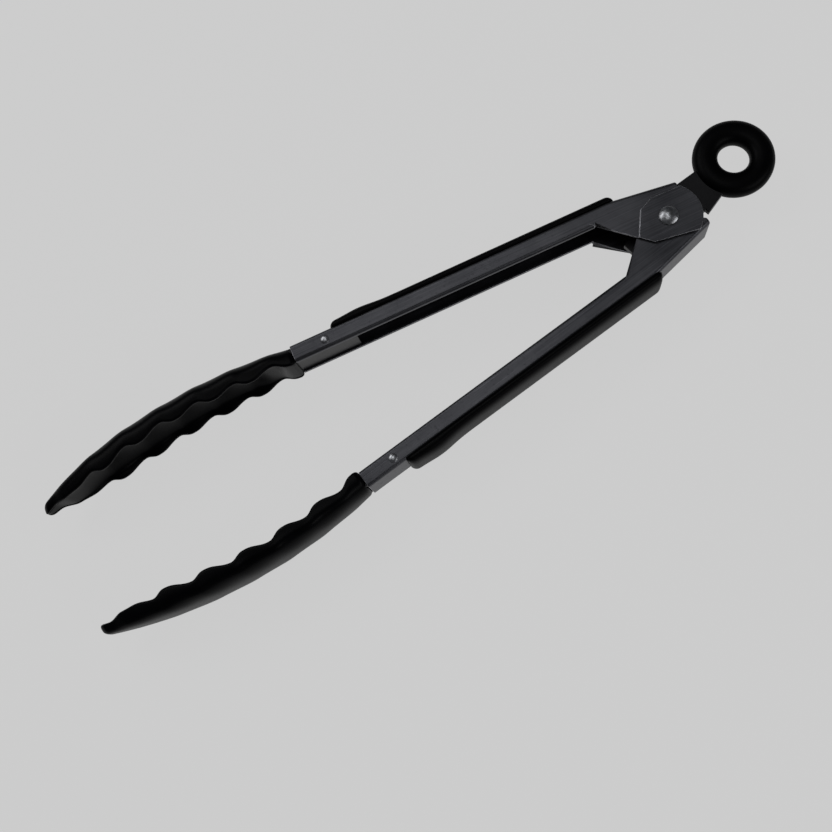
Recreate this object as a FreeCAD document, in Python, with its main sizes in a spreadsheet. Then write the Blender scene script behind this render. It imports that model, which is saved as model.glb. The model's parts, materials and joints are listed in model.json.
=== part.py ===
import FreeCAD, Part
import math
import os

import Sketcher

# Spring loaded kitchen tongs: two nested steel channel arms on one pivot rivet, held open by a
# torsion spring, with a sliding lock tab and hanging ring, soft grips and scalloped heads.
#
# Each arm is drawn in its own frame: the pivot axis is Z through the origin, the head points to -X,
# the ring to +X, and +Y (times the arm's side) is outward, away from the other arm.
# The tongs lie on their side, with +Z up, in the open position.

DIMENSIONS = {
    # steel arms
    "sheet_thickness": 0.9,
    "channel_width": 20.0,
    "nest_clearance": 0.15,
    "web_offset": 17.0,
    "flange_depth": 7.7,
    "lip_width": 2.6,
    "bend_radius": 1.6,
    "arm_length": 167.0,
    "arm_half_angle": 6.2,
    "kink_start": 20.0,
    "kink_angle": 8.0,
    "tail_length": 9.5,
    "inner_tail_length": 12.2,
    "tail_flange": 2.4,
    "tail_round": 0.75,
    # cheeks around the pivot
    "cheek_start": 29.0,
    "cheek_radius": 14.2,
    "cheek_point_x": 10.0,
    "cheek_point_y": 8.0,
    "cheek_corner_angle": 50.0,
    "lobe_radius": 12.1,
    "lobe_edge_angle": 22.0,
    "boss_height": 0.5,
    "boss_left_x": 9.2,
    "boss_left_y": 7.4,
    "boss_top_x": 3.0,
    "boss_top_y": 10.3,
    "boss_inset": 1.0,
    # pivot rivet and what turns on it
    "rivet_radius": 2.5,
    "rivet_head_radius": 4.2,
    "rivet_head_height": 1.9,
    "rivet_tail_radius": 3.8,
    "rivet_tail_height": 1.4,
    "running_clearance": 0.05,
    "side_clearance": 0.1,
    "sleeve_wall": 1.05,
    "collar_wall": 2.4,
    "washer_thickness": 0.45,
    # torsion spring
    "spring_wire": 1.4,
    "spring_coil_radius": 5.1,
    "spring_leg_reach": 34.0,
    # lock tab and hanging ring
    "tab_thickness": "=channel_width / 6",
    "tab_half_width": 7.4,
    "tab_shoulder_half_width": 9.4,
    "tab_neck_half_width": 6.8,
    "tab_outer_shoulder": 14.3,
    "tab_inner_shoulder": 15.9,
    "tab_inner_half_width": 6.2,
    "tab_inner_taper": 5.0,
    "tab_swing": 14.5,
    "tab_travel": 7.0,
    "tab_end_wall": 8.5,
    "ring_distance": 41.2,
    "ring_hole_radius": 6.65,
    "ring_tube_width": 10.75,
    "ring_tube_height": 9.0,
    "ring_land_height": 3.0,
    "ring_eye_wall": 3.4,
    "ring_eye_thickness": 2.0,
    # grips
    "grip_start": 17.0,
    "grip_length": 131.0,
    "grip_thickness": 3.3,
    "grip_swell": 1.1,
    "grip_swell_at": 117.0,
    "grip_swell_length": 15.0,
    "grip_end_slope": 3.5,
    "grip_edge_round": 1.5,
    "lug_length": 6.0,
    "lug_width": 5.0,
    "lug_inset": 26.0,
    "button_margin": 1.2,
    "button_thickness": 1.3,
    # heads
    "head_length": 125.0,
    "head_root_width": 21.2,
    "head_width": 29.6,
    "head_wide_at": 70.0,
    "head_tip_width": 6.0,
    "head_crown_at": 30.0,
    "head_crown_offset": 19.5,
    "head_back_radius": 238.0,
    "head_depth": 10.6,
    "head_taper_start": 94.0,
    "head_tip_inset": 3.1,
    "head_gap": 0.15,
    "head_back_wall": 5.6,
    "head_cavity_width": 16.0,
    "head_cavity_start": 9.0,
    "head_cavity_end": 22.0,
    "scallop_radius": 5.5,
    "scallop_depth": 2.0,
    "scallop_first": 10.0,
    "scallop_pitch": 17.5,
    "tang_length": 28.0,
    "tang_clearance": 0.1,
    "spine_depth": 2.0,
    "spine_thickness": 2.8,
    "spine_width": 8.0,
    "spine_end": 20.0,
    # head rivets
    "head_rivet_inset": 15.0,
    "head_rivet_radius": 1.5,
    "head_rivet_cap_radius": 2.0,
    "head_rivet_cap_height": 0.6,
    # place of the pivot in the part's frame, set from the finished shapes
    "pivot_x": 0.0,
    "pivot_height": 0.0,
}
SCALLOP_COUNT = 6
OUTER_SIDE = 1
INNER_SIDE = -1

doc = FreeCAD.newDocument("kitchen_tongs")
sheet = doc.addObject("Spreadsheet::Sheet", "sheet")
for row, (alias, value) in enumerate(DIMENSIONS.items(), start=1):
    sheet.set(f"A{row}", alias)
    sheet.set(f"B{row}", str(value))
    sheet.setAlias(f"B{row}", alias)
doc.recompute()

pieces = []


def cells(text):
    """Put the sheet's name before each dimension in an expression."""
    for alias in sorted(DIMENSIONS, key=len, reverse=True):
        text = text.replace(f"<{alias}>", f"sheet.{alias}")
    return text


def number(text):
    """The value of an expression on the sheet, now."""
    return float(sheet.evalExpression(cells(str(text))))


def bind(thing, target, text):
    thing.setExpression(target, cells(str(text)))


def origin_plane(body, role):
    for feature in body.Origin.OriginFeatures:
        if feature.Role == role:
            return feature
    raise ValueError(role)


def new_sketch(body, name, role="XY_Plane"):
    sketch = body.newObject("Sketcher::SketchObject", name)
    sketch.AttachmentSupport = [(origin_plane(body, role), "")]
    sketch.MapMode = "FlatFace"
    return sketch


def add_bound(sketch, constraint, text):
    index = sketch.addConstraint(constraint)
    bind(sketch, f"Constraints[{index}]", text)


def arc_between(start, end, radius):
    """Arc from start to end; a positive radius bulges to the left of the way from start to end."""
    chord = end.sub(start)
    half = chord.Length / 2
    left = FreeCAD.Vector(-chord.y, chord.x, 0).normalize()
    rise = math.sqrt(radius * radius - half * half)
    middle = start.add(chord.multiply(0.5))
    sign = 1 if radius > 0 else -1
    centre = middle.sub(left * (sign * rise))
    size = abs(radius)
    angle_start = math.atan2(start.y - centre.y, start.x - centre.x)
    angle_end = math.atan2(end.y - centre.y, end.x - centre.x)
    circle = Part.Circle(centre, FreeCAD.Vector(0, 0, 1), size)
    if radius > 0:
        return Part.ArcOfCircle(circle, angle_end, angle_start), 2, 1
    return Part.ArcOfCircle(circle, angle_start, angle_end), 1, 2


def draw_loop(sketch, corners):
    """A closed outline. Each corner is (x, y) or (x, y, radius of the arc to the next corner)."""
    points = []
    for corner in corners:
        points.append(FreeCAD.Vector(number(corner[0]), number(corner[1]), 0))
    ends = []
    for index, corner in enumerate(corners):
        start = points[index]
        end = points[(index + 1) % len(points)]
        if len(corner) == 3:
            curve, first, last = arc_between(FreeCAD.Vector(start), FreeCAD.Vector(end), number(corner[2]))
            geometry = sketch.addGeometry(curve, False)
        else:
            geometry = sketch.addGeometry(Part.LineSegment(start, end), False)
            first, last = 1, 2
        ends.append((geometry, first, last))
    for index, corner in enumerate(corners):
        geometry, first, last = ends[index]
        before, _, before_last = ends[index - 1]
        sketch.addConstraint(Sketcher.Constraint("Coincident", before, before_last, geometry, first))
        x_now, y_now = points[index].x, points[index].y
        add_bound(sketch, Sketcher.Constraint("DistanceX", -1, 1, geometry, first, x_now), corner[0])
        add_bound(sketch, Sketcher.Constraint("DistanceY", -1, 1, geometry, first, y_now), corner[1])
        if len(corner) == 3:
            size = number(corner[2])
            text = corner[2] if size > 0 else f"-({corner[2]})"
            add_bound(sketch, Sketcher.Constraint("Radius", geometry, abs(size)), text)


def draw_circle(sketch, x, y, radius):
    centre = FreeCAD.Vector(number(x), number(y), 0)
    circle = Part.Circle(centre, FreeCAD.Vector(0, 0, 1), number(radius))
    geometry = sketch.addGeometry(circle, False)
    add_bound(sketch, Sketcher.Constraint("Radius", geometry, number(radius)), radius)
    add_bound(sketch, Sketcher.Constraint("DistanceX", -1, 1, geometry, 3, centre.x), x)
    add_bound(sketch, Sketcher.Constraint("DistanceY", -1, 1, geometry, 3, centre.y), y)


def sided(corners, side):
    """The same outline on the arm's own side; a mirrored arc bulges the other way."""
    result = []
    for corner in corners:
        turned = [corner[0], f"{side} * ({corner[1]})"]
        if len(corner) == 3:
            turned.append(f"{side} * ({corner[2]})")
        result.append(tuple(turned))
    return result


def pad(body, sketch, width):
    feature = body.newObject("PartDesign::Pad", "Pad")
    feature.Profile = sketch
    feature.SideType = "Symmetric"
    bind(feature, "Length", width)
    return feature


def cut(body, sketch, width):
    """Cut a sketch out of a body by a width centred on the sketch's plane, and test that it cut."""
    doc.recompute()
    before = body.Shape.Volume
    feature = body.newObject("PartDesign::Pocket", "Pocket")
    feature.Profile = sketch
    feature.SideType = "Symmetric"
    bind(feature, "Length", width)
    doc.recompute()
    if body.Shape.Volume >= before - 1e-6:
        raise ValueError(f"{body.Label}: {sketch.Label} cuts nothing")
    return feature


def fillet(body, radius, chosen):
    """Round the edges of the body's last feature that the test picks."""
    doc.recompute()
    base = body.Tip
    names = []
    for index, edge in enumerate(base.Shape.Edges, start=1):
        if chosen(edge):
            names.append(f"Edge{index}")
    feature = body.newObject("PartDesign::Fillet", "Fillet")
    feature.Base = (base, names)
    bind(feature, "Radius", radius)


def place(piece, angle="0", x="0", y="0", z="0"):
    """Turn a piece about Z and stand it at a place measured from the pivot."""
    turn = FreeCAD.Rotation(FreeCAD.Vector(0, 0, 1), 1.0)
    piece.Placement = FreeCAD.Placement(FreeCAD.Vector(0, 0, 0), turn)
    bind(piece, "Placement.Rotation.Angle", angle)
    bind(piece, "Placement.Base.x", f"<pivot_x> + {x}")
    bind(piece, "Placement.Base.y", y)
    bind(piece, "Placement.Base.z", f"<pivot_height> + {z}")


def place_on_arm(piece, side, x="0", y="0", z="0"):
    """Place a piece at a point of an arm's own frame."""
    along = f"(({x}) * cos(<arm_half_angle>) + ({y}) * sin(<arm_half_angle>))"
    across = f"{side} * (({y}) * cos(<arm_half_angle>) - ({x}) * sin(<arm_half_angle>))"
    place(piece, f"{-side} * <arm_half_angle>", along, across, z)


def new_body(label):
    body = doc.addObject("PartDesign::Body", label)
    body.Label = label
    return body


def keep(piece, label):
    piece.Label = label
    pieces.append(piece)
    return piece


def turned_body(label, corners):
    """A body of revolution about Z. The outline is (radius, height)."""
    body = new_body(label)
    sketch = new_sketch(body, f"{label}_profile", "XZ_Plane")
    draw_loop(sketch, corners)
    feature = body.newObject("PartDesign::Revolution", "Revolution")
    feature.Profile = sketch
    feature.ReferenceAxis = (sketch, ["V_Axis"])
    feature.Angle = 360
    return body


# ---- steel arms -------------------------------------------------------------------------------

FREE_EDGE = "(<web_offset> - <flange_depth>)"
WEB_INSIDE = "(<web_offset> - <sheet_thickness>)"
KINK_WALL = "(<sheet_thickness> / cos(<kink_angle>))"
KINK_SHIFT = "(<sheet_thickness> * tan(<kink_angle> / 2))"
OUTER_WIDTH = "<channel_width>"
INNER_WIDTH = "(<channel_width> - 2 * (<sheet_thickness> + <nest_clearance>))"
BELOW = "(-<cheek_radius> - 6)"


def arm_width(side):
    return OUTER_WIDTH if side == OUTER_SIDE else INNER_WIDTH


def tail_end(side):
    return "<tail_length>" if side == OUTER_SIDE else "<inner_tail_length>"


def tail_offset(side):
    """Distance of the web's outside from the pivot's level at the arm's rear end."""
    return f"(<web_offset> - (<kink_start> + {tail_end(side)}) * tan(<kink_angle>))"


def flange_outline(side, cheek):
    """Side outline of an arm: web along the top, then the cheek, then the flange's free edge."""
    start = [
        ("-<arm_length>", "<web_offset>"),
        ("-<kink_start>", "<web_offset>"),
        (tail_end(side), tail_offset(side)),
    ]
    end = [
        ("-<cheek_start>", FREE_EDGE),
        ("-<arm_length>", FREE_EDGE),
    ]
    return start + cheek + end


OUTER_CHEEK = [
    ("<tail_length>", "sqrt(<cheek_radius> ^ 2 - <tail_length> ^ 2)", "<cheek_radius>"),
    ("<cheek_radius> * cos(<cheek_corner_angle>)", "-<cheek_radius> * sin(<cheek_corner_angle>)"),
    ("-<cheek_point_x>", "-<cheek_point_y>"),
]
INNER_CHEEK = [
    ("<inner_tail_length>", f"{tail_offset(INNER_SIDE)} - <tail_flange>"),
    ("<tail_length>", "sqrt(<lobe_radius> ^ 2 - <tail_length> ^ 2)", "<lobe_radius>"),
    ("0", "-<lobe_radius>", "<lobe_radius>"),
    ("-<lobe_radius> * cos(<lobe_edge_angle>)", "-<lobe_radius> * sin(<lobe_edge_angle>)"),
]


def make_arm(label, side, cheek):
    width = arm_width(side)
    body = new_body(label)
    outline = new_sketch(body, f"{label}_outline")
    draw_loop(outline, sided(flange_outline(side, cheek), side))
    pad(body, outline, width)

    half = number(width) / 2
    web = number("<web_offset>")
    free = number(FREE_EDGE)
    cheek_start = number("<cheek_start>")
    tail_x = number(tail_end(side))
    tail_y = number(tail_offset(side))

    def is_bend(edge):
        box = edge.BoundBox
        if box.ZMax - box.ZMin > 1e-6 or abs(abs(box.ZMin) - half) > 1e-6 or box.XLength < 1:
            return False
        middle = edge.valueAt((edge.FirstParameter + edge.LastParameter) / 2)
        on_web = side * middle.y > tail_y and box.YLength < web / 2 and middle.x < tail_x - 1
        on_lip = abs(side * middle.y - free) < 1e-6 and middle.x < -cheek_start
        return on_web or on_lip

    fillet(body, "<bend_radius>", is_bend)

    def is_tail(edge):
        box = edge.BoundBox
        middle = edge.valueAt((edge.FirstParameter + edge.LastParameter) / 2)
        upright = box.XLength < 1e-6 and box.YLength < 1e-6
        return upright and abs(middle.x - tail_x) < 1e-6 and side * middle.y > tail_y - 1

    fillet(body, "<tail_round>", is_tail)

    cavity = new_sketch(body, f"{label}_cavity")
    kink_drop = "(<kink_start> + <cheek_radius> + 5) * tan(<kink_angle>)"
    cavity_outline = [
        ("-<arm_length> - 5", WEB_INSIDE),
        (f"-<kink_start> - {KINK_SHIFT}", WEB_INSIDE),
        ("<cheek_radius> + 5", f"<web_offset> - {KINK_WALL} - {kink_drop}"),
        ("<cheek_radius> + 5", BELOW),
        ("-<cheek_start>", BELOW),
        ("-<cheek_start>", f"{FREE_EDGE} + <sheet_thickness>"),
        ("-<arm_length> - 5", f"{FREE_EDGE} + <sheet_thickness>"),
    ]
    draw_loop(cavity, sided(cavity_outline, side))
    cut(body, cavity, f"{width} - 2 * <sheet_thickness>")

    mouth = new_sketch(body, f"{label}_mouth")
    mouth_outline = [
        ("-<arm_length> - 5", f"{FREE_EDGE} + <sheet_thickness> * 1.5"),
        ("-<cheek_start> + 1", f"{FREE_EDGE} + <sheet_thickness> * 1.5"),
        ("-<cheek_start> + 1", BELOW),
        ("-<arm_length> - 5", BELOW),
    ]
    draw_loop(mouth, sided(mouth_outline, side))
    cut(body, mouth, f"{width} - 2 * <lip_width>")

    if side == OUTER_SIDE:
        add_boss(body, label, width)

    hole = new_sketch(body, f"{label}_pivot_hole")
    clearance = "<running_clearance>" if side == OUTER_SIDE else "0"
    draw_circle(hole, "0", "0", f"<rivet_radius> + {clearance}")
    cut(body, hole, f"{width} + 10")

    rivet_hole = new_sketch(body, f"{label}_head_rivet_hole")
    draw_circle(rivet_hole, HEAD_RIVET_X, f"{side} * {HEAD_RIVET_OFFSET}", "<head_rivet_radius>")
    cut(body, rivet_hole, f"{width} + 10")

    slots = new_sketch(body, f"{label}_grip_slots")
    for middle in LUG_PLACES:
        slot = box_outline(middle, "<lug_length>", f"{WEB_INSIDE} - 1", "<web_offset> + 1")
        draw_loop(slots, sided(slot, side))
    cut(body, slots, "<lug_width>")
    place_on_arm(body, side)
    return keep(body, label)


HEAD_RIVET_X = "(-<arm_length> + <head_rivet_inset>)"
HEAD_RIVET_OFFSET = "(<web_offset> - <flange_depth> / 2)"
LUG_PLACES = [
    "-(<grip_start> + <lug_inset>)",
    "-(<grip_start> + <grip_length> - <lug_inset>)",
]


def box_outline(middle, length, low, high):
    return [
        (f"{middle} - {length} / 2", low),
        (f"{middle} + {length} / 2", low),
        (f"{middle} + {length} / 2", high),
        (f"{middle} - {length} / 2", high),
    ]


def boss_outline(inset):
    """The raised pressing around the pivot, which follows the cheek's own edge at the rear."""
    size = f"(<cheek_radius> - {inset})"
    return [
        (f"-<boss_left_x> + {inset}", "<boss_left_y>"),
        (f"-<boss_top_x>", f"<boss_top_y> - {inset}"),
        (f"{size} * cos(44)", f"{size} * sin(44)", size),
        (f"{size} * cos(<cheek_corner_angle>)", f"-{size} * sin(<cheek_corner_angle>)"),
        (f"-<cheek_point_x> + {inset}", f"-<cheek_point_y> + {inset} * 0.4"),
        (f"-<cheek_point_x> - 5 + {inset}", f"-<cheek_point_y> + 4.55 + {inset} * 0.4"),
    ]


def add_boss(body, label, width):
    """Raise the cheeks around the pivot outward, and hollow the same pressing from inside."""
    raised = new_sketch(body, f"{label}_boss")
    draw_loop(raised, boss_outline("0"))
    pad(body, raised, f"{width} + 2 * <boss_height>")
    hollow = new_sketch(body, f"{label}_boss_hollow")
    draw_loop(hollow, boss_outline("<boss_inset>"))
    cut(body, hollow, f"{width} + 2 * (<boss_height> - <sheet_thickness>)")
    clear = new_sketch(body, f"{label}_boss_clear")
    draw_loop(clear, boss_outline("-1"))
    cut(body, clear, f"{width} - 2 * <sheet_thickness>")


# ---- pivot rivet and the pieces on it ----------------------------------------------------------

INNER_CHEEK_FACE = f"({INNER_WIDTH} / 2 - <sheet_thickness>)"
BOSS_FACE = "(<channel_width> / 2 + <boss_height>)"
SLEEVE_BORE = "(<rivet_radius> + <running_clearance>)"
SLEEVE_RADIUS = f"({SLEEVE_BORE} + <sleeve_wall>)"
COLLAR_BORE = f"({SLEEVE_RADIUS} + <running_clearance>)"
COLLAR_RADIUS = f"({COLLAR_BORE} + <collar_wall>)"
TAB_FACE = "(<tab_thickness> / 2)"


def make_pivot_rivet():
    head = f"({BOSS_FACE} + <running_clearance>)"
    rise = "(<rivet_head_height> - 0.5)"
    crown = f"((<rivet_head_radius> ^ 2 + {rise} ^ 2) / (2 * {rise}))"
    outline = [
        ("0", f"-{head} - <rivet_tail_height>"),
        ("<rivet_tail_radius> - 0.8", f"-{head} - <rivet_tail_height>"),
        ("<rivet_tail_radius>", f"-{head} - <rivet_tail_height> / 2"),
        ("<rivet_tail_radius>", f"-{head}"),
        ("<rivet_radius>", f"-{head}"),
        ("<rivet_radius>", head),
        ("<rivet_head_radius>", head),
        ("<rivet_head_radius>", f"{head} + 0.5", f"-{crown}"),
        ("0", f"{head} + <rivet_head_height>"),
    ]
    body = turned_body("pivot_rivet", outline)
    place(body)
    return keep(body, "pivot_rivet")


def make_tube(label, bore, radius, low, high):
    outline = [(bore, low), (radius, low), (radius, high), (bore, high)]
    body = turned_body(label, outline)
    place(body)
    return keep(body, label)


def spring_point(side):
    """Where a spring leg's end rests inside an arm's web, measured from the pivot."""
    angle = math.radians(number("<arm_half_angle>"))
    reach = number("<spring_leg_reach>")
    offset = number(f"{WEB_INSIDE} - <spring_wire> / 2 - <side_clearance>")
    along = -reach * math.cos(angle) + offset * math.sin(angle)
    across = reach * math.sin(angle) + offset * math.cos(angle)
    return along, side * across


def make_spring():
    """Torsion spring: a short coil around the sleeve and one straight leg into each arm."""
    wire = number("<spring_wire>")
    radius = number("<spring_coil_radius>")
    low = number(f"{TAB_FACE} + 2 * <side_clearance> + <washer_thickness> + <spring_wire> / 2")
    high = number(f"{INNER_CHEEK_FACE} - <side_clearance> - <spring_wire> / 2")
    end_x, end_y = spring_point(OUTER_SIDE)
    distance = math.hypot(end_x, end_y)
    tangent = math.atan2(end_y, end_x) - math.acos(radius / distance)
    part_turn = tangent / math.pi
    close_pitch = 1.01 * wire
    turns = math.floor((high - low) / close_pitch - part_turn) + part_turn
    pitch = (high - low) / turns
    coil = Part.makeHelix(pitch, pitch * turns, radius)
    coil.rotate(FreeCAD.Vector(0, 0, 0), FreeCAD.Vector(0, 0, 1), -math.degrees(tangent))
    coil.translate(FreeCAD.Vector(0, 0, low))
    coil_start = FreeCAD.Vector(radius * math.cos(tangent), -radius * math.sin(tangent), low)
    coil_end = FreeCAD.Vector(radius * math.cos(tangent), radius * math.sin(tangent), high)
    inner_leg = Part.makeLine(FreeCAD.Vector(end_x, -end_y, low), coil_start)
    outer_leg = Part.makeLine(coil_end, FreeCAD.Vector(end_x, end_y, high))
    ends = []
    for start, line in ((FreeCAD.Vector(end_x, -end_y, low), inner_leg), (coil_end, outer_leg)):
        direction = line.Edges[0].tangentAt(line.Edges[0].FirstParameter)
        if line is outer_leg:
            direction = FreeCAD.Vector(end_x, end_y, high).sub(coil_end)
        section = Part.Wire([Part.makeCircle(wire / 2, start, direction)])
        face = Part.Face(section)
        ends.append(face.extrude(line.Vertexes[-1].Point.sub(line.Vertexes[0].Point)))
    section = Part.Wire([Part.makeCircle(wire / 2, coil_start, coil.Edges[0].tangentAt(0))])
    path = Part.Wire(coil.Edges)
    turns_shape = path.makePipeShell([section], True, True)
    shape = turns_shape.fuse(ends)
    spring = doc.addObject("Part::Feature", "torsion_spring")
    spring.Shape = shape.Solids[0]
    place(spring)
    return keep(spring, "torsion_spring")


# ---- lock tab and ring --------------------------------------------------------------------------

RING_CENTRE = "<ring_distance>"
EYE_INSIDE = "(<ring_hole_radius> + 1.6)"
EYE_RADIUS = f"({EYE_INSIDE} + <ring_eye_wall>)"
SLOT_HALF = f"({SLEEVE_RADIUS} + <running_clearance>)"
TAB_INNER_END = f"(-<tab_travel> - {SLOT_HALF} - <tab_end_wall>)"


def make_lock_tab():
    body = new_body("lock_tab")
    outline = new_sketch(body, "tab_outline")
    neck_end = f"({RING_CENTRE} - {EYE_RADIUS} + 2)"
    upper_edge = [
        (TAB_INNER_END, "<tab_inner_half_width>"),
        (f"{TAB_INNER_END} + <tab_inner_taper>", "<tab_half_width>"),
        ("<tab_outer_shoulder>", "<tab_half_width>"),
        ("<tab_outer_shoulder>", "<tab_shoulder_half_width>"),
        (neck_end, "<tab_neck_half_width>"),
    ]
    lower_edge = [
        (neck_end, "-<tab_neck_half_width>"),
        ("<tab_inner_shoulder>", "-<tab_shoulder_half_width>"),
        ("<tab_inner_shoulder>", "-<tab_half_width>"),
        (f"{TAB_INNER_END} + <tab_inner_taper>", "-<tab_half_width>"),
        (TAB_INNER_END, "-<tab_inner_half_width>"),
    ]
    draw_loop(outline, upper_edge + lower_edge)
    pad(body, outline, "<tab_thickness>")
    slot = new_sketch(body, "tab_slot")
    slot_outline = [
        ("-<tab_travel>", f"-{SLOT_HALF}"),
        ("0", f"-{SLOT_HALF}", f"-{SLOT_HALF}"),
        (SLOT_HALF, "0", f"-{SLOT_HALF}"),
        ("0", SLOT_HALF),
        ("-<tab_travel>", SLOT_HALF, f"-{SLOT_HALF}"),
        (f"-<tab_travel> - {SLOT_HALF}", "0", f"-{SLOT_HALF}"),
    ]
    draw_loop(slot, slot_outline)
    cut(body, slot, "<tab_thickness> + 2")
    eye = new_sketch(body, "tab_eye")
    draw_circle(eye, RING_CENTRE, "0", EYE_RADIUS)
    pad(body, eye, "<ring_eye_thickness>")
    hole = new_sketch(body, "tab_eye_hole")
    draw_circle(hole, RING_CENTRE, "0", EYE_INSIDE)
    cut(body, hole, "<tab_thickness> + 2")
    place(body, "<tab_swing>")
    return keep(body, "lock_tab")


def make_pull_ring(tab):
    """Doughnut ring moulded over the tab's eye, with a straight land inside its hole."""
    outside = "(<ring_hole_radius> + <ring_tube_width>)"
    middle = "(<ring_hole_radius> + <ring_tube_width> * 0.46)"
    land = "(<ring_land_height> / 2)"
    high = "(<ring_tube_height> / 2)"
    rise = f"({high} - {land})"
    run_in = "(<ring_tube_width> * 0.46)"
    run_out = "(<ring_tube_width> * 0.54)"
    size_in = f"(({run_in} ^ 2 + {rise} ^ 2) / (2 * {rise}))"
    size_out = f"(({run_out} ^ 2 + {high} ^ 2) / (2 * {high}))"
    outline = [
        ("<ring_hole_radius>", f"-{land}", f"-{size_in}"),
        (middle, f"-{high}", f"-{size_out}"),
        (outside, "0", f"-{size_out}"),
        (middle, high, f"-{size_in}"),
        ("<ring_hole_radius>", land),
    ]
    body = turned_body("ring_blank", outline)
    place(body, "<tab_swing>", "<ring_distance> * cos(<tab_swing>)", "<ring_distance> * sin(<tab_swing>)")
    ring = doc.addObject("Part::Cut", "pull_ring")
    ring.Base = body
    ring.Tool = tab
    return keep(ring, "pull_ring")


# ---- grips ----------------------------------------------------------------------------------------

def make_grip(label, side):
    body = new_body(label)
    outline = new_sketch(body, f"{label}_outline")
    top = "(<web_offset> + <grip_thickness>)"
    first = "(-<grip_start>)"
    last = "(-<grip_start> - <grip_length>)"
    swell = "(-<grip_start> - <grip_swell_at>)"
    swell_size = "((<grip_swell_length> ^ 2 + <grip_swell> ^ 2) / (2 * <grip_swell>))"
    profile = [
        (last, "<web_offset>"),
        (f"{last} + <grip_end_slope> / 2", top),
        (f"{swell}", f"{top} + <grip_swell>"),
        (f"{swell} + <grip_swell_length>", top),
        (f"{first} - <grip_end_slope>", top),
        (first, "<web_offset>"),
    ]
    draw_loop(outline, sided(profile, side))
    pad(body, outline, "<channel_width>")
    top_now = number(top) - 0.01

    def is_top(edge):
        box = edge.BoundBox
        low = min(abs(box.YMin), abs(box.YMax))
        return low > top_now and box.XLength > 1

    fillet(body, "<grip_edge_round>", is_top)
    for middle in LUG_PLACES:
        lug = new_sketch(body, f"{label}_lug")
        through = box_outline(middle, "<lug_length>", WEB_INSIDE, "<web_offset> + 1")
        draw_loop(lug, sided(through, side))
        pad(body, lug, "<lug_width>")
        button = new_sketch(body, f"{label}_button")
        low = f"({WEB_INSIDE} - <button_thickness>)"
        length = "(<lug_length> + 2 * <button_margin>)"
        draw_loop(button, sided(box_outline(middle, length, low, WEB_INSIDE), side))
        pad(body, button, "(<lug_width> + 2 * <button_margin>)")
    place_on_arm(body, side)
    return keep(body, label)


# ---- heads ----------------------------------------------------------------------------------------

CROWN_X = "(-<arm_length> - <head_crown_at>)"
TIP_X = "(-<arm_length> - <head_length>)"
ROOT_X = "(-<arm_length> - <head_gap>)"
TAPER_X = "(-<arm_length> - <head_taper_start>)"
ARC_CENTRE_Y = "(<head_crown_offset> - <head_back_radius>)"


def arc_height(x, inset):
    """Height of the head's curved back, or of a line at an inset below it, at x."""
    return f"({ARC_CENTRE_Y} + sqrt((<head_back_radius> - ({inset})) ^ 2 - (({x}) - {CROWN_X}) ^ 2))"


def make_head_core(label, side):
    """Stiff core of a head: a tang inside the channel's end and a curved spine."""
    body = new_body(label)
    tang = new_sketch(body, f"{label}_tang")
    low = f"({FREE_EDGE} + <sheet_thickness> + <tang_clearance>)"
    high = f"({WEB_INSIDE} - <tang_clearance>)"
    tang_outline = [
        ("-<arm_length> - 2", low),
        ("-<arm_length> + <tang_length>", low),
        ("-<arm_length> + <tang_length>", high),
        ("-<arm_length> - 2", high),
    ]
    draw_loop(tang, sided(tang_outline, side))
    pad(body, tang, f"{arm_width(side)} - 2 * (<sheet_thickness> + <tang_clearance>)")
    spine = new_sketch(body, f"{label}_spine")
    end = f"({TIP_X} + <spine_end>)"
    above = "<spine_depth>"
    under = "<spine_depth> + <spine_thickness>"
    start = "(-<arm_length> - 1)"
    spine_outline = [
        (start, arc_height(start, above), "-(<head_back_radius> - <spine_depth>)"),
        (end, arc_height(end, above)),
        (end, arc_height(end, under), "<head_back_radius> - <spine_depth> - <spine_thickness>"),
        (start, arc_height(start, under)),
    ]
    draw_loop(spine, sided(spine_outline, side))
    pad(body, spine, "<spine_width>")
    hole = new_sketch(body, f"{label}_rivet_hole")
    draw_circle(hole, HEAD_RIVET_X, f"{side} * {HEAD_RIVET_OFFSET}", "<head_rivet_radius>")
    cut(body, hole, "<channel_width> + 10")
    place_on_arm(body, side)
    return keep(body, label)


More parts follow.
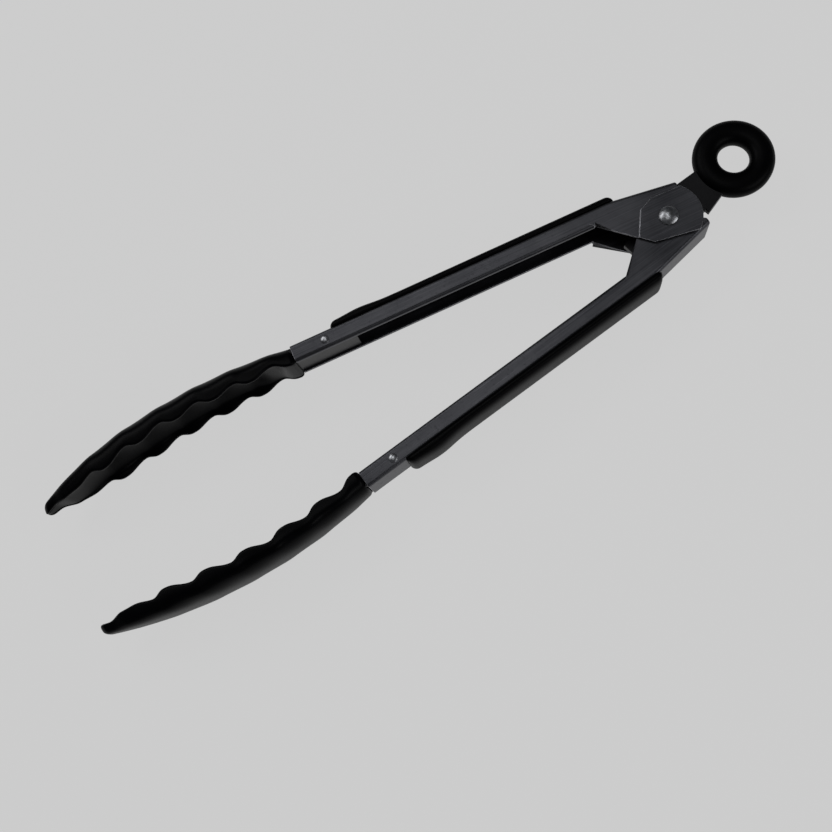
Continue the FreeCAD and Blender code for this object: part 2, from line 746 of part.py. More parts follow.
def make_head_cover(label, side, core):
    """Soft scalloped head: a curved, hollowed body that narrows to a small rounded tip."""
    body = new_body(f"{label}_blank")
    outline = new_sketch(body, f"{label}_outline")
    tip_inner = f"({arc_height(TIP_X, '0')} - <head_tip_inset> * 1.55)"
    inner_radius = "(<head_back_radius> - <head_depth>)"
    side_outline = [
        (ROOT_X, arc_height(ROOT_X, "0"), "-<head_back_radius>"),
        (TIP_X, arc_height(TIP_X, "0"), "-<head_tip_inset>"),
        (f"{TIP_X} + 1", tip_inner),
        (TAPER_X, arc_height(TAPER_X, "<head_depth>"), inner_radius),
        (ROOT_X, arc_height(ROOT_X, "<head_depth>")),
    ]
    draw_loop(outline, sided(side_outline, side))
    pad(body, outline, "<head_width>")

    plan = new_sketch(body, f"{label}_plan", "XZ_Plane")
    wide_x = "(-<arm_length> - <head_wide_at>)"
    rise = "((<head_width> - <head_root_width>) / 2 + 0.01)"
    fall = "((<head_width> - <head_tip_width>) / 2)"
    run_out = "(<head_length> - <head_wide_at>)"
    root_size = f"((<head_wide_at> ^ 2 + {rise} ^ 2) / (2 * {rise}))"
    tip_size = f"(({run_out} ^ 2 + {fall} ^ 2) / (2 * {fall}))"
    for edge in (1, -1):
        trim = [
            ("-<arm_length>", f"{edge} * <head_root_width> / 2", f"{edge} * -{root_size}"),
            (wide_x, f"{edge} * (<head_width> / 2 + 0.01)", f"{edge} * -{tip_size}"),
            (TIP_X, f"{edge} * <head_tip_width> / 2"),
            (f"{TIP_X} - 5", f"{edge} * <head_tip_width> / 2"),
            (f"{TIP_X} - 5", f"{edge} * (<head_width> / 2 + 5)"),
            ("-<arm_length>", f"{edge} * (<head_width> / 2 + 5)"),
        ]
        draw_loop(plan, trim)
    cut(body, plan, "200")

    cavity = new_sketch(body, f"{label}_cavity")
    first = "(-<arm_length> - <head_cavity_start>)"
    last = f"({TIP_X} + <head_cavity_end>)"
    cavity_outline = [
        (first, arc_height(first, "<head_back_wall>"), "-(<head_back_radius> - <head_back_wall>)"),
        (last, arc_height(last, "<head_back_wall>")),
        (last, "-30"),
        (first, "-30"),
    ]
    draw_loop(cavity, sided(cavity_outline, side))
    cut(body, cavity, "<head_cavity_width>")

    scallops = new_sketch(body, f"{label}_scallops")
    for index in range(SCALLOP_COUNT):
        x = f"(-<arm_length> - <scallop_first> - {index} * <scallop_pitch>)"
        y = f"{arc_height(x, '<head_depth>')} - <scallop_radius> + <scallop_depth>"
        draw_circle(scallops, x, f"{side} * ({y})", "<scallop_radius>")
    cut(body, scallops, "<head_width> + 2")
    place_on_arm(body, side)

    cover = doc.addObject("Part::Cut", label)
    cover.Base = body
    cover.Tool = core
    return keep(cover, label)


def make_head_rivet(label, side):
    """Small rivet through both flanges and the tang."""
    face = f"({arm_width(side)} / 2)"
    cap = f"({face} + <head_rivet_cap_height>)"
    rise = "<head_rivet_cap_height>"
    crown = f"((<head_rivet_cap_radius> ^ 2 + {rise} ^ 2) / (2 * {rise}))"
    outline = [
        ("0", f"-{cap}", f"-{crown}"),
        ("<head_rivet_cap_radius>", f"-{face}"),
        ("<head_rivet_radius>", f"-{face}"),
        ("<head_rivet_radius>", face),
        ("<head_rivet_cap_radius>", face, f"-{crown}"),
        ("0", cap),
    ]
    body = turned_body(label, outline)
    place_on_arm(body, side, HEAD_RIVET_X, HEAD_RIVET_OFFSET)
    return keep(body, label)


# ---- the whole object --------------------------------------------------------------------------

make_arm("outer_arm", OUTER_SIDE, OUTER_CHEEK)
make_arm("inner_arm", INNER_SIDE, INNER_CHEEK)
make_pivot_rivet()
sleeve_end = f"({INNER_CHEEK_FACE} - <side_clearance>)"
make_tube("pivot_sleeve", SLEEVE_BORE, SLEEVE_RADIUS, f"-{sleeve_end}", sleeve_end)
spacer_high = f"-{TAB_FACE} - <side_clearance>"
make_tube("tab_spacer", COLLAR_BORE, COLLAR_RADIUS, f"-{INNER_CHEEK_FACE}", spacer_high)
washer_low = f"({TAB_FACE} + <side_clearance>)"
make_tube("spring_washer", COLLAR_BORE, COLLAR_RADIUS, washer_low, f"{washer_low} + <washer_thickness>")
make_spring()
lock_tab = make_lock_tab()
make_pull_ring(lock_tab)
for name, arm_side in (("outer", OUTER_SIDE), ("inner", INNER_SIDE)):
    make_grip(f"{name}_grip", arm_side)
    head_core = make_head_core(f"{name}_head_core", arm_side)
    make_head_cover(f"{name}_head_cover", arm_side, head_core)
    make_head_rivet(f"{name}_head_rivet", arm_side)

doc.recompute()
whole = FreeCAD.BoundBox()
for piece in pieces:
    whole.add(piece.Shape.BoundBox)
for cell_alias, shift in (("pivot_x", -(whole.XMin + whole.XMax) / 2), ("pivot_height", -whole.ZMin)):
    sheet.set(sheet.getCellFromAlias(cell_alias), f"{shift:.6f}")
doc.recompute()

for thing in doc.Objects:
    if "Invalid" in thing.State or "Error" in thing.State:
        raise ValueError(f"{thing.Label}: {thing.State}")
for piece in pieces:
    if piece.Shape.isNull() or not piece.Shape.isValid():
        raise ValueError(f"{piece.Label}: bad shape")

os.makedirs("parts", exist_ok=True)
for piece in pieces:
    piece.Shape.exportStep(f"parts/{piece.Label}.step")
    print(piece.Label, len(piece.Shape.Solids), round(piece.Shape.Volume, 1))
print("pivot", number("<pivot_x>"), number("<pivot_height>"))
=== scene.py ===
import json
import math

import bmesh
import bpy
from mathutils import Matrix, Vector


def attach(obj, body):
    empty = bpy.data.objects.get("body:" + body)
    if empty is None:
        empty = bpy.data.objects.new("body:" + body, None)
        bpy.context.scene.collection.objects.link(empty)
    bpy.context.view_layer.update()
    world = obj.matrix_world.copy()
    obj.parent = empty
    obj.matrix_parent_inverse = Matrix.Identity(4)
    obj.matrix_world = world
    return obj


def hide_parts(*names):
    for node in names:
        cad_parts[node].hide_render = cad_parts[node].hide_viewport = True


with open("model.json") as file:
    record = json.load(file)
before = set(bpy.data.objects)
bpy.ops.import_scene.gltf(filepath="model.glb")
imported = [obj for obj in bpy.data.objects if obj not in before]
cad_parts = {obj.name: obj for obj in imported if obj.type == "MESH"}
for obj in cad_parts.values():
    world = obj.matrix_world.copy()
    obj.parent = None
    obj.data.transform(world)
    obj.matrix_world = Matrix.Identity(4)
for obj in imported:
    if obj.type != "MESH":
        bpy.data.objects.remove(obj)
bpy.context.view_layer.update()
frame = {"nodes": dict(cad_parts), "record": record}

MM = 0.001
ORIGIN = (0, 0, 0)
OUTER_SIDE = 1
INNER_SIDE = -1

# Sizes of the arms, in mm, and how far each arm and the lock tab are turned at rest.
ARM_HALF_ANGLE = math.radians(6.2)
TAB_SWING = math.radians(14.5)
ARM_LENGTH = 167.0
HALF_WIDTH = 10.0
WEB_OFFSET = 17.0

# Meshing: weld distances in m, and what counts as flat, as sharp and as a big flat face.
CAD_WELD = 1e-6
WELD = 2e-6
FLAT_ANGLE = math.radians(1.0)
SHARP_ANGLE = math.radians(32)
FLAT_AREA = 15 * MM * MM

joints = {joint["name"]: joint for joint in frame["record"]["behaviour"]["joints"]}
PIVOT = Vector(joints["arm_hinge"]["pos_m"])


# ---- shader maths ---------------------------------------------------------------------------

class Value:
    """A shader socket that adds Math nodes when it is used in an expression."""

    def __init__(self, shop, socket):
        self.shop = shop
        self.socket = socket

    def _math(self, operation, *values, clamp=False):
        links = {index: value for index, value in enumerate(values)}
        node = self.shop.node("ShaderNodeMath", {"operation": operation, "use_clamp": clamp}, links)
        return Value(self.shop, node.outputs[0])

    def __add__(self, other):
        return self._math("ADD", self, other)

    def __sub__(self, other):
        return self._math("SUBTRACT", self, other)

    def __mul__(self, other):
        return self._math("MULTIPLY", self, other)

    __radd__ = __add__

    def clamp(self):
        return self._math("ADD", self, 0.0, clamp=True)

    def sharpen(self, low, high):
        """0 below low, 1 above high, and a straight line between."""
        links = {"Value": self, "From Min": low, "From Max": high}
        node = self.shop.node("ShaderNodeMapRange", {"clamp": True}, links)
        return Value(self.shop, node.outputs[0])


class Finish:
    """One material and its nodes."""

    def __init__(self, name):
        self.material = bpy.data.materials.new(name)
        self.material.use_nodes = True
        self.tree = self.material.node_tree
        self.tree.nodes.clear()
        self.shader = self.node("ShaderNodeBsdfPrincipled")
        out = self.node("ShaderNodeOutputMaterial")
        self.tree.links.new(self.shader.outputs[0], out.inputs[0])

    def node(self, kind, settings=None, sockets=None):
        node = self.tree.nodes.new(kind)
        for key, value in (settings or {}).items():
            setattr(node, key, value)
        for key, value in (sockets or {}).items():
            self.feed(node.inputs[key], value)
        return node

    def feed(self, socket, value):
        if isinstance(value, Value):
            self.tree.links.new(value.socket, socket)
        else:
            socket.default_value = value

    def place(self, stretch=(1, 1, 1), turn=0.0):
        """Object coordinates in metres, turned about Z and stretched."""
        place = self.node("ShaderNodeTexCoord").outputs["Object"]
        links = {"Vector": Value(self, place), "Rotation": (0, 0, turn), "Scale": stretch}
        node = self.node("ShaderNodeMapping", {"vector_type": "TEXTURE"}, links)
        return Value(self, node.outputs[0])

    def noise(self, place, scale, detail=2.0, rough=0.5):
        links = {"Vector": place, "Scale": scale, "Detail": detail, "Roughness": rough}
        return Value(self, self.node("ShaderNodeTexNoise", {}, links).outputs[0])

    def mix(self, amount, first, second):
        """Two colours mixed; a plain colour is given as three numbers."""
        node = self.node("ShaderNodeMix", {"data_type": "RGBA"})
        self.feed(node.inputs[0], amount)
        self.feed(node.inputs[6], first if isinstance(first, Value) else (*first, 1.0))
        self.feed(node.inputs[7], second if isinstance(second, Value) else (*second, 1.0))
        return Value(self, node.outputs[2])

    def edge_wear(self):
        """1 along raised edges."""
        pointy = Value(self, self.node("ShaderNodeNewGeometry").outputs["Pointiness"])
        return pointy.sharpen(0.52, 0.60)

    def bump(self, height, strength, distance):
        links = {"Height": height, "Strength": strength, "Distance": distance}
        node = self.node("ShaderNodeBump", {}, links)
        self.feed(self.shader.inputs["Normal"], Value(self, node.outputs[0]))

    def set(self, **values):
        """Feed the shader's sockets; an underscore stands for a space in a socket's name."""
        for key, value in values.items():
            self.feed(self.shader.inputs[key.replace("_", " ")], value)


def brushed_steel(name, turn, dark=(0.036, 0.037, 0.042), light=(0.105, 0.106, 0.116)):
    """Rolled strip, brushed and scratched along the arm, a little stained by handling."""
    finish = Finish(name)
    along = finish.place(stretch=(0.05, 0.0006, 0.0006), turn=turn)
    plain = finish.place(stretch=(0.02, 0.02, 0.02))
    grain = finish.noise(along, 1.0, 4.0, 0.65)
    cloud = finish.noise(plain, 1.0, 3.0, 0.55)
    speck = finish.noise(finish.place(stretch=(0.0011, 0.0011, 0.0011)), 1.0)
    blend = (grain * 0.55 + cloud * 0.45).sharpen(0.3, 0.7)
    colour = finish.mix(blend, dark, light)
    scratch = finish.noise(finish.place(stretch=(0.03, 0.0002, 0.0002), turn=turn), 1.0, 1.0)
    colour = finish.mix(scratch.sharpen(0.70, 0.76) * 0.5, colour, (0.22, 0.22, 0.25))
    rough = 0.30 + grain * 0.14 + cloud * 0.10 + speck.sharpen(0.62, 0.72) * 0.12
    finish.set(Base_Color=colour, Metallic=1.0, Roughness=rough)
    finish.bump(grain * 0.7 + speck * 0.3, 0.12, 0.00005)
    return finish.material


def tumbled_steel(name, light=(0.42, 0.43, 0.45)):
    """Bright rivet steel with small dents."""
    finish = Finish(name)
    dents = finish.noise(finish.place(stretch=(0.0018, 0.0018, 0.0018)), 1.0, 2.0, 0.5)
    fine = finish.noise(finish.place(stretch=(0.0003, 0.0003, 0.0003)), 1.0, 2.0, 0.6)
    colour = finish.mix(dents.sharpen(0.35, 0.65), (0.22, 0.22, 0.23), light)
    finish.set(Base_Color=colour, Metallic=1.0, Roughness=0.22 + fine * 0.16)
    finish.bump(dents * 0.8 + fine * 0.2, 0.5, 0.0002)
    return finish.material


def moulded_black(name, base, high, rough, grain, strength, gloss):
    """Black moulding: fine surface texture, faint mottling, paler rubbed edges."""
    finish = Finish(name)
    fine = finish.noise(finish.place(stretch=(grain, grain, grain)), 1.0, 3.0, 0.6)
    cloud = finish.noise(finish.place(stretch=(0.012, 0.012, 0.012)), 1.0, 3.0, 0.6)
    dust = finish.noise(finish.place(stretch=(0.0009, 0.0009, 0.0009)), 1.0, 1.0).sharpen(0.70, 0.78)
    wear = finish.edge_wear()
    amount = (cloud.sharpen(0.3, 0.7) * 0.5 + wear * 0.5 + dust * 0.25).clamp()
    finish.set(
        Base_Color=finish.mix(amount, base, high),
        Roughness=rough + fine * 0.12 + cloud * 0.08 - wear * 0.06,
    )
    finish.shader.inputs["Specular IOR Level"].default_value = gloss
    finish.bump(fine, strength, 0.00012)
    return finish.material


steel_outer = brushed_steel("steel_outer_arm", -ARM_HALF_ANGLE)
steel_inner = brushed_steel("steel_inner_arm", ARM_HALF_ANGLE)
bright = tumbled_steel("rivet_steel")
# Brighter steel for the arms' rounded cut edges: a painted highlight along the edges, standing in for the
# light they catch.
edge_highlight = tumbled_steel("edge_highlight_steel", (0.34, 0.34, 0.37))
wire_steel = tumbled_steel("spring_wire_steel", (0.30, 0.30, 0.31))
nylon = moulded_black(
    "black_nylon", base=(0.003, 0.003, 0.0036), high=(0.010, 0.010, 0.012),
    rough=0.32, grain=0.0004, strength=0.25, gloss=0.2,
)
rubber = moulded_black(
    "black_rubber", base=(0.0006, 0.0006, 0.0008), high=(0.002, 0.002, 0.0026),
    rough=0.30, grain=0.0003, strength=0.25, gloss=0.05,
)
silicone = moulded_black(
    "black_silicone", base=(0.0006, 0.0006, 0.0009), high=(0.002, 0.0024, 0.0034),
    rough=0.24, grain=0.0005, strength=0.2, gloss=0.05,
)


def dress(node, material):
    """Give a CAD piece that stays as it is its finish."""
    piece = frame["nodes"][node]
    piece.data.materials.clear()
    piece.data.materials.append(material)


# ---- building pieces ------------------------------------------------------------------------

def on_arm(side):
    """From an arm's own frame in mm (head towards -X, outward +Y) to the scene."""
    turn = Matrix.Rotation(-side * ARM_HALF_ANGLE, 4, "Z")
    return Matrix.Translation(PIVOT) @ turn @ Matrix.Diagonal((MM, side * MM, MM, 1))


def on_tab(distance):
    """From a frame in mm, at a distance from the pivot along the lock tab, to the scene."""
    turn = Matrix.Rotation(TAB_SWING, 4, "Z")
    return Matrix.Translation(PIVOT) @ turn @ Matrix.Scale(MM, 4) @ Matrix.Translation((distance, 0, 0))


def add_piece(name, mesh, material, body, nodes):
    """Show a finished mesh in place of CAD nodes and let it ride on their body."""
    piece = bpy.data.objects.new(name, mesh)
    bpy.context.scene.collection.objects.link(piece)
    mesh.materials.clear()
    mesh.materials.append(material)
    mesh.shade_smooth()
    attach(piece, body)
    if nodes:
        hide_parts(*nodes)
    return piece


def close_mesh(name, form, matrix):
    """Finish a bmesh: put it in place, weld it and turn its faces outward."""
    form.transform(matrix)
    bmesh.ops.remove_doubles(form, verts=form.verts, dist=WELD)
    bmesh.ops.recalc_face_normals(form, faces=form.faces)
    mesh = bpy.data.meshes.new(name)
    form.to_mesh(mesh)
    form.free()
    for shading in ("custom_normal", "sharp_edge", "sharp_face"):
        if shading in mesh.attributes:
            mesh.attributes.remove(mesh.attributes[shading])
    return mesh


def soften(node, material, body, width, segments, edge_highlight_material=None):
    """The CAD piece again with its sharp edges rounded. If an edge finish is given, the rounded edges get
    it as a painted highlight.
    """
    source = frame["nodes"][node]
    form = bmesh.new()
    form.from_mesh(source.data)
    form.transform(source.matrix_world)
    bmesh.ops.remove_doubles(form, verts=form.verts, dist=CAD_WELD)
    bmesh.ops.dissolve_limit(form, angle_limit=FLAT_ANGLE, verts=form.verts, edges=form.edges)
    mesh = close_mesh(f"{node}_finished", form, Matrix.Identity(4))
    piece = add_piece(f"{node}_finished", mesh, material, body, [node])
    mesh.set_sharp_from_angle(angle=SHARP_ANGLE)
    for face in mesh.polygons:
        face.use_smooth = face.area < FLAT_AREA
    if edge_highlight_material:
        mesh.materials.append(edge_highlight_material)
    bevel = piece.modifiers.new("soft_edges", "BEVEL")
    bevel.width = width * MM
    bevel.segments = segments
    bevel.limit_method = "ANGLE"
    bevel.angle_limit = SHARP_ANGLE
    bevel.use_clamp_overlap = False
    bevel.harden_normals = True
    # The new edge faces take the brighter steel when it is given: a painted highlight.
    bevel.material = 1 if edge_highlight_material else -1


def loft(name, sections, matrix):
    """A closed skin through sections that have the same number of points."""
    form = bmesh.new()
    rings = [[form.verts.new(point) for point in section] for section in sections]
    count = len(rings[0])
    for first, second in zip(rings, rings[1:]):
        for index in range(count):
            after = (index + 1) % count
            form.faces.new((first[index], first[after], second[after], second[index]))
    for ring in (rings[0], rings[-1]):
        middle = form.verts.new(sum((vert.co for vert in ring), Vector()) / count)
        for index in range(count):
            form.faces.new((ring[index], ring[(index + 1) % count], middle))
    return close_mesh(name, form, matrix)


def round_end(distance, radius):
    """How far a rounded end draws in, at a distance from the end."""
    if distance >= radius:
        return 0.0
    return radius - math.sqrt(max(0.0, radius * radius - (radius - distance) ** 2))


def smooth_step(value, low, high):
    """0 up to low, 1 from high on, and a soft S between."""
    share = min(1.0, max(0.0, (value - low) / (high - low)))
    return share * share * (3 - 2 * share)


def power_curve(angle, power):
    """Cosine and sine flattened towards a rounded square."""
    across, up = math.cos(angle), math.sin(angle)
    return (
        math.copysign(abs(across) ** (2 / power), across),
        math.copysign(abs(up) ** (2 / power), up),
    )


def tube(name, points, radius, matrix, sides=20):
    """A round wire through points, with flat ends."""
    sections = []
    side_way = Vector((0, 0, 1))
    ends = len(points) - 1
    for index, point in enumerate(points):
        before, after = points[max(0, index - 1)], points[min(ends, index + 1)]
        direction = (after - before).normalized()
        side_way = (side_way - direction * side_way.dot(direction)).normalized()
        other = direction.cross(side_way)
        ring = []
        for step in range(sides):
            angle = 2 * math.pi * step / sides
            ring.append(point + (side_way * math.cos(angle) + other * math.sin(angle)) * radius)
        sections.append(ring)
    return loft(name, sections, matrix)


# ---- scalloped heads ------------------------------------------------------------------------

HEAD_LENGTH = 125.0
CROWN_AT = 30.0
CROWN_OFFSET = 19.5
BACK_RADIUS = 238.0
ROOT_HALF_WIDTH = 10.6
WIDEST_AT = 70
WIDEST_HALF_WIDTH = 14.75
WIDENING = 4.15
NARROWING = 10.6
HEAD_DEPTH = 10.6
TIP_DEPTH = 5.0
ROOT_DEPTH_LOSS = 1.2
DEPTH_TRIM = 0.9
SCALLOP_FIRST = 10.0
SCALLOP_PITCH = 17.5
SCALLOP_COUNT = 6
SCALLOP_DEPTH = 2.3
SCALLOP_LEAN = 0.09
SCALLOP_POWER = 1.35
RIM = 1.15
FLUTE_DEPTH = 0.35
FLOOR_DEPTH = 5.2
ROOT_ROUND = 2.2
TIP_ROUND = 3.0
TIP_BACK_ROUND = 2.6
BACK_STEPS = 32
RIM_STEPS = 8
HOLLOW_STEPS = 24


# In the functions below, along is a distance in mm from the head's root and left is one from its tip.

def back_line(along):
    """Offset of the curved back."""
    return CROWN_OFFSET - BACK_RADIUS + math.sqrt(BACK_RADIUS ** 2 - (along - CROWN_AT) ** 2)


def scallop(along):
    """0 at the top of a lobe, 1 in a notch. The lobes lean a little towards the tip."""
    place = (along - SCALLOP_FIRST) / SCALLOP_PITCH
    if place < -0.5 or place > SCALLOP_COUNT - 0.5:
        return 0.0
    share = place % 1.0
    leaned = share - SCALLOP_LEAN * math.sin(math.pi * share)
    return (1 - math.sin(math.pi * leaned) ** 2) ** SCALLOP_POWER


def head_half_width(along):
    """Half the width across both rims: widest past the middle, drawn in at the root and the tip."""
    if along < WIDEST_AT:
        share = along / WIDEST_AT
        wide = ROOT_HALF_WIDTH + WIDENING * (1 - (1 - share) ** 2)
    else:
        share = (along - WIDEST_AT) / (HEAD_LENGTH - WIDEST_AT)
        wide = WIDEST_HALF_WIDTH - NARROWING * share ** 2.0
        wide -= 1.1 * smooth_step(along, HEAD_LENGTH - 13, HEAD_LENGTH - 6)
    return wide - round_end(along, ROOT_ROUND) - round_end(HEAD_LENGTH - along, TIP_ROUND)


def head_depth(side, along):
    """Depth from the back to the tops of the lobes. The outer head is a little deeper than the inner."""
    left = HEAD_LENGTH - along
    taper = 0.35 * smooth_step(left, 5, 13) + 0.65 * smooth_step(left, 4, 34)
    depth = TIP_DEPTH + (HEAD_DEPTH - TIP_DEPTH) * taper
    depth -= ROOT_DEPTH_LOSS * (1 - smooth_step(along, 2, 26))
    if side == OUTER_SIDE:
        depth += DEPTH_TRIM * smooth_step(along, 10, 40) * smooth_step(left, 15, 45)
    else:
        depth -= DEPTH_TRIM * smooth_step(along, 4, 20) * (1 - smooth_step(along, 40, 80))
    return depth


def head_section(side, along):
    """Closed cross-section: over the rounded back, round one rim, through the hollow, round the other."""
    left = HEAD_LENGTH - along
    wide = max(0.3, head_half_width(along))
    root_draw = round_end(along, ROOT_ROUND) * 0.8
    tip_draw = round_end(left, TIP_BACK_ROUND) * 0.9
    back = back_line(along) - root_draw - tip_draw
    notch = scallop(along) * SCALLOP_DEPTH * smooth_step(left, 12, 30)
    rim = back_line(along) - head_depth(side, along) + notch
    rim = min(rim + root_draw + tip_draw, back - 0.4)
    crisp = 2.7 + 1.0 * smooth_step(along, 60, 110)
    flute = FLUTE_DEPTH * (1 - scallop(along)) * smooth_step(along, 4, 20) * smooth_step(left, 10, 30)
    hollow = smooth_step(along, 5, 22) * smooth_step(left, 9, 34)
    floor = rim + (min(back - 0.3, max(rim + 0.05, back - FLOOR_DEPTH)) - rim) * hollow
    wall = min(2 * RIM, wide * 0.6)
    points = []
    for step in range(BACK_STEPS + 1):
        across, up = power_curve(math.pi * step / BACK_STEPS, crisp)
        swell = flute * math.sin(math.pi * up) ** 2
        points.append((across * (wide - flute + swell), rim + RIM + (back - rim - RIM) * up))
    for step in range(1, RIM_STEPS):
        angle = math.pi * step / RIM_STEPS
        inward = wall * (1 - math.cos(angle)) / 2
        points.append((-wide + flute + inward, rim + RIM - RIM * math.sin(angle)))
    inside = wide - flute - wall
    for step in range(HOLLOW_STEPS + 1):
        across, up = power_curve(math.pi - math.pi * step / HOLLOW_STEPS, 2.3)
        lift = RIM * (0.2 * (1 - hollow) + hollow * (1 - up))
        points.append((across * inside, rim + (floor - rim) * up + lift))
    for step in range(1, RIM_STEPS):
        angle = math.pi * (RIM_STEPS - step) / RIM_STEPS
        inward = wall * (1 - math.cos(angle)) / 2
        points.append((wide - flute - inward, rim + RIM - RIM * math.sin(angle)))
    return [Vector((-ARM_LENGTH - along, offset, across)) for across, offset in points]


def make_head(side, prefix, body):
    stations = [0.15 + 0.1 * step for step in range(24)]
    stations += [2.6 + (HEAD_LENGTH - 5.6) * step / 260 for step in range(261)]
    stations += [HEAD_LENGTH - 3.0 + 2.95 * math.sin(math.pi / 2 * step / 16) for step in range(1, 17)]
    sections = [head_section(side, along) for along in stations]
    mesh = loft(f"{prefix}_head", sections, on_arm(side))
    add_piece(f"{prefix}_scalloped_head", mesh, silicone, body, [f"{prefix}_head_cover"])


# ---- grips ------------------------------------------------------------------------------------

GRIP_START = 17.0
GRIP_LENGTH = 131.0
GRIP_THICKNESS = 3.3
GRIP_SWELL = 1.05
GRIP_SWELL_AT = 117.0
GRIP_SWELL_LENGTH = 8.0
GRIP_SIDE_ROUND = 3.0
GRIP_TOP_ROUND = 3.1
GRIP_STEPS = 28
END_LENGTH = 3.2
END_STEPS = 14
LUG_INSET = 26.0
BUTTON_HALF_LENGTH = 4.2
BUTTON_HALF_WIDTH = 3.7
BUTTON_START = WEB_OFFSET - 2.2
BUTTON_LEVELS = ((0.0, 0.35), (0.3, 0.0), (1.0, 0.0), (1.28, 0.0))
BUTTON_STEPS = 32


def grip_section(along):
    """Closed cross-section of a grip: over its rounded top, then back along its flat underside."""
    left = GRIP_LENGTH - along
    wide = HALF_WIDTH - 0.03
    wide = wide - round_end(along, GRIP_SIDE_ROUND) * 0.8 - round_end(left, GRIP_SIDE_ROUND) * 0.8
    high = GRIP_THICKNESS - round_end(along, GRIP_TOP_ROUND) - round_end(left, GRIP_TOP_ROUND)
    high += GRIP_SWELL * math.exp(-((along - GRIP_SWELL_AT) / GRIP_SWELL_LENGTH) ** 2) - 0.02
    high = max(high, 0.12)
    base = WEB_OFFSET + 0.01
    points = []
    for step in range(GRIP_STEPS + 1):
        across, up = power_curve(math.pi * step / GRIP_STEPS, 3.4)
        points.append((across * wide, base + high * up))
    points += [(wide * share, base) for share in (-0.75, -0.5, -0.25, 0.0, 0.25, 0.5, 0.75)]
    return [Vector((-GRIP_START - along, offset, across)) for across, offset in points]


def make_button(side, prefix, body, index, middle):
    """The end of a grip's lug inside the channel."""
    levels = []
    for height, draw_in in BUTTON_LEVELS:
        level = []
        for step in range(BUTTON_STEPS):
            across, up = power_curve(2 * math.pi * step / BUTTON_STEPS, 5)
            along = -GRIP_START - middle + across * (BUTTON_HALF_LENGTH - draw_in)
            level.append(Vector((along, BUTTON_START + height, up * (BUTTON_HALF_WIDTH - draw_in))))
        levels.append(level)
    mesh = loft(f"{prefix}_button_{index}", levels, on_arm(side))
    add_piece(f"{prefix}_grip_button_{index}", mesh, rubber, body, [])


def make_grip(side, prefix, body):
    ends = [END_LENGTH * (1 - math.cos(math.pi / 2 * step / END_STEPS)) for step in range(END_STEPS + 1)]
    stations = [0.03 + end for end in ends]
    stations += [3.3 + (GRIP_LENGTH - 6.6) * step / 130 for step in range(131)]
    stations += [GRIP_LENGTH - 0.03 - end for end in reversed(ends)]
    sections = [grip_section(along) for along in stations]
    mesh = loft(f"{prefix}_grip", sections, on_arm(side))
    add_piece(f"{prefix}_soft_grip", mesh, rubber, body, [f"{prefix}_grip"])
    for index, middle in enumerate((LUG_INSET, GRIP_LENGTH - LUG_INSET)):
        make_button(side, prefix, body, index, middle)


# ---- hanging ring and spring ------------------------------------------------------------------

RING_DISTANCE = 41.2
RING_MIDDLE_RADIUS = 12.02
RING_HALF_WIDTH = 5.33
RING_HALF_HEIGHT = 4.45
RING_HOLE_RADIUS = 6.66
RING_PROFILE_STEPS = 40
RING_STEPS = 96

WIRE_RADIUS = 1.4 / 2
COIL_RADIUS = 5.1
COIL_LOW = 3.017
COIL_HIGH = 7.25
COIL_WHOLE_TURNS = 2
COIL_STUB = math.radians(12)
COIL_STEPS = 150
LEG_REACH = 34.0
LEG_OFFSET = 15.3


def make_ring():
    """Smooth doughnut with a short straight land inside its hole."""
    form = bmesh.new()
    profile = []
    for step in range(RING_PROFILE_STEPS):
        across, up = power_curve(2 * math.pi * step / RING_PROFILE_STEPS, 2.25)
        radius = RING_MIDDLE_RADIUS + RING_HALF_WIDTH * across
        profile.append((max(RING_HOLE_RADIUS, radius), RING_HALF_HEIGHT * up))
    rings = []
    for step in range(RING_STEPS):
        turn = 2 * math.pi * step / RING_STEPS
        rings.append([form.verts.new((r * math.cos(turn), r * math.sin(turn), z)) for r, z in profile])
    for index, first in enumerate(rings):
        second = rings[(index + 1) % RING_STEPS]
        for corner in range(RING_PROFILE_STEPS):
            after = (corner + 1) % RING_PROFILE_STEPS
            form.faces.new((first[corner], first[after], second[after], second[corner]))
    mesh = close_mesh("ring", form, on_tab(RING_DISTANCE))
    add_piece("hanging_ring", mesh, rubber, "lock_body", ["pull_ring"])


def make_spring():
    """Wound coil with one leg in each arm; the outer leg goes with the outer arm.

    The coil runs on a little past the outer leg's start, so that the leg stays on it as the arms close.
    """
    end_x = -LEG_REACH * math.cos(ARM_HALF_ANGLE) + LEG_OFFSET * math.sin(ARM_HALF_ANGLE)
    end_y = LEG_REACH * math.sin(ARM_HALF_ANGLE) + LEG_OFFSET * math.cos(ARM_HALF_ANGLE)
    tangent = math.atan2(end_y, end_x) - math.acos(COIL_RADIUS / math.hypot(end_x, end_y))
    sweep = 2 * math.pi * COIL_WHOLE_TURNS + 2 * tangent
    place = Matrix.Translation(PIVOT) @ Matrix.Scale(MM, 4)
    points = [Vector((end_x, -end_y, COIL_LOW))]
    for step in range(COIL_STEPS + 1):
        turn = (sweep + COIL_STUB) * step / COIL_STEPS
        angle = turn - tangent
        height = COIL_LOW + (COIL_HIGH - COIL_LOW) * min(1.0, turn / sweep)
        points.append(Vector((COIL_RADIUS * math.cos(angle), COIL_RADIUS * math.sin(angle), height)))
    coil_mesh = tube("spring_coil", points, WIRE_RADIUS, place)
    add_piece("spring_coil", coil_mesh, wire_steel, "inner_arm_body", ["torsion_spring"])
    start = Vector((COIL_RADIUS * math.cos(tangent), COIL_RADIUS * math.sin(tangent), COIL_HIGH))
    end = Vector((end_x, end_y, COIL_HIGH))
    leg_mesh = tube("spring_leg", [start, start.lerp(end, 0.5), end], WIRE_RADIUS, place)
    add_piece("spring_outer_leg", leg_mesh, wire_steel, "outer_arm_body", ["torsion_spring"])
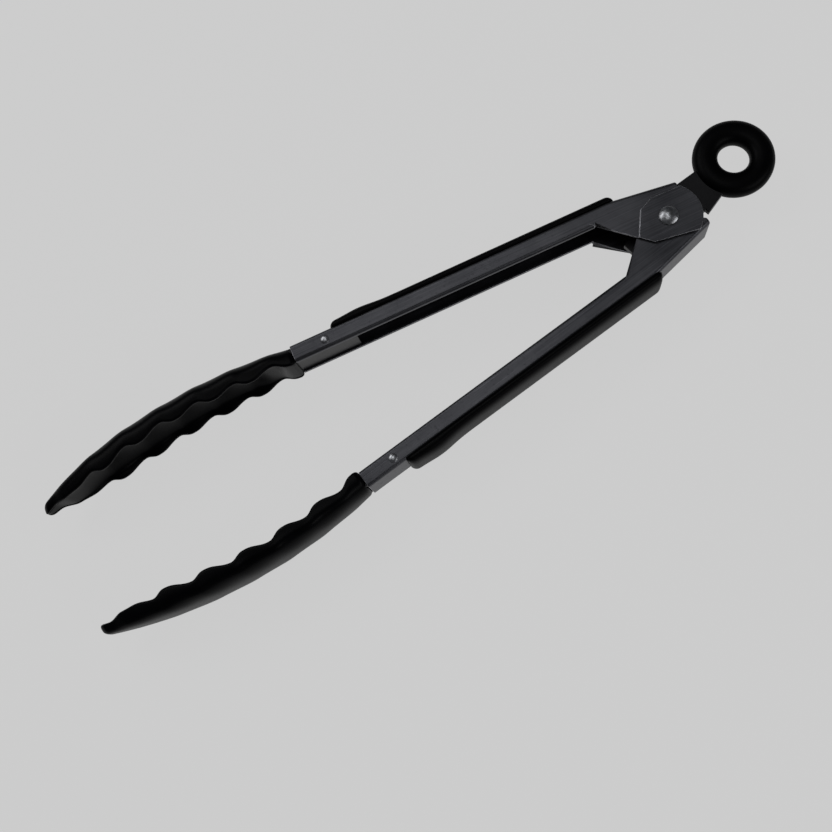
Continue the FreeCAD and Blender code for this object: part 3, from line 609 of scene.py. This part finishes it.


# ---- the tongs --------------------------------------------------------------------------------

# The arms' rounded edges get the brighter steel as a painted highlight.
soften("outer_arm", steel_outer, "outer_arm_body", 0.19, 2, edge_highlight)
soften("inner_arm", steel_inner, "inner_arm_body", 0.19, 2, edge_highlight)
soften("pivot_rivet", bright, "inner_arm_body", 0.25, 3)
soften("lock_tab", nylon, "lock_body", 0.35, 3)
for node in ("pivot_sleeve", "spring_washer", "outer_head_rivet", "inner_head_rivet"):
    dress(node, bright)
for node in ("tab_spacer", "outer_head_core", "inner_head_core"):
    dress(node, nylon)
make_ring()
make_spring()
for side, prefix in ((OUTER_SIDE, "outer"), (INNER_SIDE, "inner")):
    make_head(side, prefix, f"{prefix}_arm_body")
    make_grip(side, prefix, f"{prefix}_arm_body")


# ---- floor, light, camera ---------------------------------------------------------------------

FLOOR_SIZE = 40.0
FLOOR_HEIGHT = -0.0005
FLOOR_GLOW = (0.585, 0.585, 0.585, 1.0)
ROOM_COLOUR = (0.8, 0.83, 0.88, 1)
ROOM_STRENGTH = 0.07

# Name, place in m, width and height in m, power in W. Each lamp faces the origin.
LAMPS = (
    ("key", (-0.35, 0.65, 0.75), (0.8, 0.35), 2.4),
    ("fill", (0.55, -0.75, 0.6), (0.9, 0.3), 2.2),
    ("strip", (0.1, 0.25, 1.2), (0.35, 0.9), 1.7),
)

# Turns about X, Y and Z in degrees, the pivot's place as the camera sees it in m, and the focal length as
# a share of the sensor's width in mm.
CAMERA_TURNS = (-14.08, 0.42, 30.29)
PIVOT_IN_VIEW = Vector((0.1063, 0.0811, -0.4676))
FOCAL_SHARE = 1.3223557692307693
SENSOR_WIDTH = 36.0
CLIP_START = 0.01


def make_floor():
    """Plain pale ground that glows evenly, so that the tongs throw almost no shadow on it."""
    finish = Finish("floor_paint")
    cloud = finish.noise(finish.place(stretch=(0.3, 0.3, 0.3)), 1.0)
    finish.set(Base_Color=finish.mix(cloud, (0.035, 0.035, 0.035), (0.04, 0.04, 0.04)), Roughness=0.9)
    finish.set(Emission_Color=FLOOR_GLOW, Emission_Strength=1.0)
    bpy.ops.mesh.primitive_plane_add(size=FLOOR_SIZE, location=(0, 0, FLOOR_HEIGHT))
    floor = bpy.context.object
    floor.name = "floor"
    floor.data.materials.append(finish.material)


def area_light(name, place, size, power):
    data = bpy.data.lights.new(name, "AREA")
    data.shape = "RECTANGLE"
    data.size, data.size_y = size
    data.energy = power
    lamp = bpy.data.objects.new(name, data)
    bpy.context.scene.collection.objects.link(lamp)
    lamp.location = place
    lamp.rotation_euler = (Vector(ORIGIN) - Vector(place)).to_track_quat("-Z", "Y").to_euler()


def make_lights():
    room = bpy.data.worlds.new("studio")
    room.use_nodes = True
    room.node_tree.nodes["Background"].inputs["Color"].default_value = ROOM_COLOUR
    room.node_tree.nodes["Background"].inputs["Strength"].default_value = ROOM_STRENGTH
    bpy.context.scene.world = room
    bpy.context.scene.view_settings.view_transform = "Standard"
    for lamp in LAMPS:
        area_light(*lamp)


def make_camera():
    """Camera set above the tongs, rolled so that the arms run from low left to high right."""
    turn_x, turn_y, turn_z = (math.radians(angle) for angle in CAMERA_TURNS)
    world_to_view = (
        Matrix.Rotation(turn_z, 3, "Z") @ Matrix.Rotation(turn_y, 3, "Y") @ Matrix.Rotation(turn_x, 3, "X")
    )
    data = bpy.data.cameras.new("camera")
    data.sensor_width = SENSOR_WIDTH
    data.lens = SENSOR_WIDTH * FOCAL_SHARE
    data.clip_start = CLIP_START
    camera = bpy.data.objects.new("camera", data)
    bpy.context.scene.collection.objects.link(camera)
    view_to_world = world_to_view.transposed()
    place = Matrix.Translation(PIVOT - view_to_world @ PIVOT_IN_VIEW)
    camera.matrix_world = place @ view_to_world.to_4x4()
    bpy.context.scene.camera = camera


make_floor()
make_lights()
make_camera()


def plain(box):
    return [[float(value) for value in corner] for corner in box]
